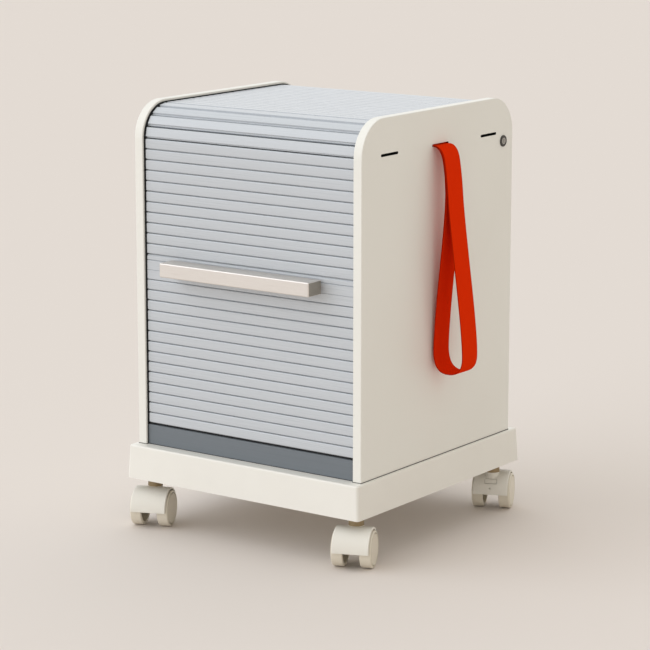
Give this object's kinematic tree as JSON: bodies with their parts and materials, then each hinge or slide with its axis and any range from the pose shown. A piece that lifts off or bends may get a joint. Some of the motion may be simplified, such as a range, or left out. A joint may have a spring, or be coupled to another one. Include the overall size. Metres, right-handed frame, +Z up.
{
  "type": "mobile storage cabinet",
  "caption": "Under-desk storage cabinet on twin-wheel castors, with a slatted roll-up front over the top, a bar handle, a webbing pull strap and a side lock.",
  "frame": {"origin": "on the floor under the middle of the cabinet", "axes": "+X to the right as seen from the front, the front faces -Y, +Z up"},
  "size_m": [0.4501, 0.4308, 0.5943],
  "materials": {
    "panel": "satin laminate",
    "board": "satin laminate",
    "tray": "fine matt",
    "block": "matt",
    "slat": "satin",
    "kick": "matt",
    "seal": "matt",
    "handle": "satin anodised",
    "steel": "bright zinc",
    "dowel": "raw",
    "lock": "polished",
    "strap": "woven webbing",
    "hood": "fine matt",
    "wheel": "fine matt"
  },
  "bodies": {
    "cabinet": {"left_side_panel": "panel", "right_side_panel": "panel", "base_tray": "tray", "castor_blocks": "block", "castor_stems": "steel", "bottom_board": "board", "inner_top_board": "board", "shelf": "board", "shelf_pins": "steel", "inner_back_panel": "board", "rear_cover": "panel", "kick_strip": "kick", "panel_screws": "steel", "board_dowels": "dowel", "back_screws": "steel", "cover_screws": "steel", "front_bend_slats": "slat", "rear_bend_slats": "slat", "lock_barrel": "lock", "strap_anchor": "steel", "strap_anchor_screws": "steel", "strap_tail": "strap"},
    "lower_curtain": {"lower_slats": "slat", "bottom_seal": "seal"},
    "upper_curtain": {"middle_slats": "slat", "handle_slat": "slat", "upper_slats": "slat", "top_slats": "slat", "handle_bar": "handle", "handle_spacers": "handle", "handle_screws": "steel"},
    "lock_plug": {"lock_cylinder": "lock", "lock_cam": "steel", "lock_cam_screw": "steel"},
    "strap": {"pull_strap": "strap"},
    "front_left_castor": {"front_left_castor_hood": "hood", "front_left_castor_axle": "steel"},
    "front_left_left_roller": {"front_left_left_wheel": "wheel"},
    "front_left_right_roller": {"front_left_right_wheel": "wheel"},
    "front_right_castor": {"front_right_castor_hood": "hood", "front_right_castor_axle": "steel"},
    "front_right_left_roller": {"front_right_left_wheel": "wheel"},
    "front_right_right_roller": {"front_right_right_wheel": "wheel"},
    "rear_left_castor": {"rear_left_castor_hood": "hood", "rear_left_castor_axle": "steel"},
    "rear_left_left_roller": {"rear_left_left_wheel": "wheel"},
    "rear_left_right_roller": {"rear_left_right_wheel": "wheel"},
    "rear_left_brake": {"rear_left_brake_tab": "hood"},
    "rear_right_castor": {"rear_right_castor_hood": "hood", "rear_right_castor_axle": "steel"},
    "rear_right_left_roller": {"rear_right_left_wheel": "wheel"},
    "rear_right_right_roller": {"rear_right_right_wheel": "wheel"},
    "rear_right_brake": {"rear_right_brake_tab": "hood"}
  },
  "joints": [
    {"name": "curtain_roll", "type": "hinge", "parent": "cabinet", "child": "upper_curtain", "pos_m": [0, 0, 0.41055], "axis": [-1, 0, 0], "range_deg": [0, 90], "deforming": ["middle_slats", "handle_slat", "upper_slats", "top_slats"]},
    {"name": "curtain_lift", "type": "slide", "parent": "cabinet", "child": "lower_curtain", "axis": [0, 0, 1], "range_m": [0, 0.2675]},
    {"name": "lock_turn", "type": "hinge", "parent": "cabinet", "child": "lock_plug", "pos_m": [0.189, 0.15851, 0.53286], "axis": [-1, 0, 0], "range_deg": [-90, 0]},
    {"name": "strap_swing", "type": "hinge", "parent": "cabinet", "child": "strap", "pos_m": [0.191, 0, 0.54526], "axis": [0, -1, 0], "range_deg": [0, 60]},
    {"name": "front_left_swivel", "type": "hinge", "parent": "cabinet", "child": "front_left_castor", "pos_m": [-0.172, -0.16971, 0.069], "axis": [0, 0, 1], "continuous": true},
    {"name": "front_left_left_spin", "type": "hinge", "parent": "front_left_castor", "child": "front_left_left_roller", "pos_m": [-0.16822, -0.17897, 0.025], "axis": [0.9259, 0.3778, 0], "continuous": true},
    {"name": "front_left_right_spin", "type": "hinge", "parent": "front_left_castor", "child": "front_left_right_roller", "pos_m": [-0.16822, -0.17897, 0.025], "axis": [0.9259, 0.3778, 0], "continuous": true},
    {"name": "front_right_swivel", "type": "hinge", "parent": "cabinet", "child": "front_right_castor", "pos_m": [0.172, -0.16971, 0.069], "axis": [0, 0, 1], "continuous": true},
    {"name": "front_right_left_spin", "type": "hinge", "parent": "front_right_castor", "child": "front_right_left_roller", "pos_m": [0.17578, -0.17897, 0.025], "axis": [0.9259, 0.3778, 0], "continuous": true},
    {"name": "front_right_right_spin", "type": "hinge", "parent": "front_right_castor", "child": "front_right_right_roller", "pos_m": [0.17578, -0.17897, 0.025], "axis": [0.9259, 0.3778, 0], "continuous": true},
    {"name": "rear_left_swivel", "type": "hinge", "parent": "cabinet", "child": "rear_left_castor", "pos_m": [-0.172, 0.16971, 0.069], "axis": [0, 0, 1], "continuous": true},
    {"name": "rear_left_left_spin", "type": "hinge", "parent": "rear_left_castor", "child": "rear_left_left_roller", "pos_m": [-0.17578, 0.17897, 0.025], "axis": [-0.9259, -0.3778, 0], "continuous": true},
    {"name": "rear_left_right_spin", "type": "hinge", "parent": "rear_left_castor", "child": "rear_left_right_roller", "pos_m": [-0.17578, 0.17897, 0.025], "axis": [-0.9259, -0.3778, 0], "continuous": true},
    {"name": "rear_left_brake_press", "type": "hinge", "parent": "rear_left_castor", "child": "rear_left_brake", "pos_m": [-0.16775, 0.1593, 0.04347], "axis": [0.9259, 0.3778, 0], "range_deg": [0, 8]},
    {"name": "rear_right_swivel", "type": "hinge", "parent": "cabinet", "child": "rear_right_castor", "pos_m": [0.172, 0.16971, 0.069], "axis": [0, 0, 1], "continuous": true},
    {"name": "rear_right_left_spin", "type": "hinge", "parent": "rear_right_castor", "child": "rear_right_left_roller", "pos_m": [0.16822, 0.17897, 0.025], "axis": [-0.9259, -0.3778, 0], "continuous": true},
    {"name": "rear_right_right_spin", "type": "hinge", "parent": "rear_right_castor", "child": "rear_right_right_roller", "pos_m": [0.16822, 0.17897, 0.025], "axis": [-0.9259, -0.3778, 0], "continuous": true},
    {"name": "rear_right_brake_press", "type": "hinge", "parent": "rear_right_castor", "child": "rear_right_brake", "pos_m": [0.17625, 0.1593, 0.04347], "axis": [0.9259, 0.3778, 0], "range_deg": [0, 8]}
  ],
  "couplings": [
    {"joint": "curtain_lift", "follows": "curtain_roll", "m_per_rad": 0.1703}
  ]
}
